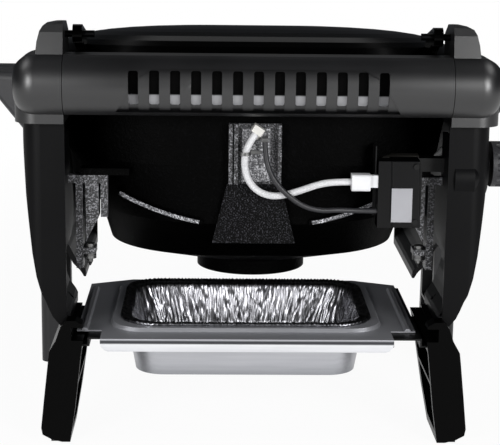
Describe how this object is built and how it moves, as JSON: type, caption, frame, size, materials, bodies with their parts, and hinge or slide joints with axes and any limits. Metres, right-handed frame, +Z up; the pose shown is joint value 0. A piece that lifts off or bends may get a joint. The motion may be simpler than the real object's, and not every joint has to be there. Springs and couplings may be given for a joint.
{
  "type": "portable gas grill",
  "caption": "Tabletop gas grill on moulded legs: cast cookbox, hinged domed lid, vented rear panel, slide-out drip tray with foil pan, side carry handles and a push-and-turn control.",
  "frame": {"origin": "on the ground under the middle of the grill's overall box", "axes": "+Z up, -Y towards the cook, +Y the vented rear, +X the cook's right"},
  "size_m": [0.686, 0.419, 0.364],
  "materials": {
    "black_nylon": "fine moulded texture",
    "grey_nylon": "satin moulded",
    "cast_aluminium": "rough speckled casting",
    "cast_iron": "matt enamel",
    "enamel": "glossy",
    "zinc_steel": "zinc plated",
    "stainless_steel": "satin",
    "sheet_steel": "plain sheet",
    "black_steel": "satin",
    "galvanised_steel": "galvanised",
    "foil": "crinkled foil",
    "pipe_aluminium": "satin",
    "brass": "turned",
    "rubber": "matt",
    "gloss_plastic": "glossy",
    "label": "satin film",
    "plug_plastic": "moulded",
    "ceramic": "glazed",
    "white_sleeve": "braided sleeve",
    "grey_sleeve": "smooth"
  },
  "bodies": {
    "body": {"side_frame_right": "black_nylon", "side_frame_left": "black_nylon", "end_cap_right": "black_nylon", "end_cap_left": "black_nylon", "vent_panel": "black_nylon", "heat_shield": "sheet_steel", "cookbox": "cast_aluminium", "drain_collar": "cast_aluminium", "grate_right": "cast_iron", "grate_left": "cast_iron", "hinge_pin_right": "zinc_steel", "hinge_pin_left": "zinc_steel", "carry_handle_right": "grey_nylon", "carry_handle_left": "grey_nylon", "rear_leg_right": "grey_nylon", "rear_leg_left": "grey_nylon", "front_leg_right": "grey_nylon", "front_leg_left": "grey_nylon", "foot_pad_rear_right": "rubber", "foot_pad_rear_left": "rubber", "foot_pad_front_right": "rubber", "foot_pad_front_left": "rubber", "front_panel": "black_nylon", "gas_valve": "brass", "knob_bezel": "black_nylon", "gas_pipe": "pipe_aluminium", "gas_inlet": "brass", "burner_tube": "stainless_steel", "burner_plug": "stainless_steel", "burner_bracket": "cast_aluminium", "bracket_pad": "cast_aluminium", "deflector_plate": "sheet_steel", "electrode": "ceramic", "electrode_boot": "ceramic", "ground_tab": "zinc_steel", "ignition_module": "gloss_plastic", "module_side": "gloss_plastic", "module_bracket": "zinc_steel", "module_label": "label", "connector_plug": "plug_plastic", "module_screws": "zinc_steel", "igniter_lead_white": "white_sleeve", "igniter_lead_grey": "grey_sleeve", "lead_clip": "zinc_steel", "cookbox_carrier_right": "cast_aluminium", "cookbox_carrier_left": "cast_aluminium", "cookbox_screws": "zinc_steel", "tray_rail_right": "black_steel", "tray_rail_left": "black_steel", "leg_screws": "zinc_steel"},
    "lid": {"lid": "enamel", "lid_handle": "grey_nylon", "lid_handle_post_right": "black_nylon", "lid_handle_post_left": "black_nylon"},
    "shaft": {"control_shaft": "brass"},
    "knob": {"control_knob": "grey_nylon"},
    "tray": {"drip_tray": "galvanised_steel", "foil_pan": "foil"}
  },
  "joints": [
    {"name": "lid_hinge", "type": "hinge", "parent": "body", "child": "lid", "pos_m": [0, 0.168, 0.352], "axis": [-1, 0, 0], "range_deg": [0, 95]},
    {"name": "knob_push", "type": "slide", "parent": "body", "child": "shaft", "axis": [1, 0, 0], "range_m": [0, 0.003], "stiffness_N_per_m": 800, "springref_m": -0.002},
    {"name": "knob_turn", "type": "hinge", "parent": "shaft", "child": "knob", "pos_m": [-0.2125, 0.147, 0.24], "axis": [-1, 0, 0], "range_deg": [0, 150]},
    {"name": "tray_slide", "type": "slide", "parent": "body", "child": "tray", "axis": [0, 1, 0], "range_m": [0, 0.16]}
  ]
}
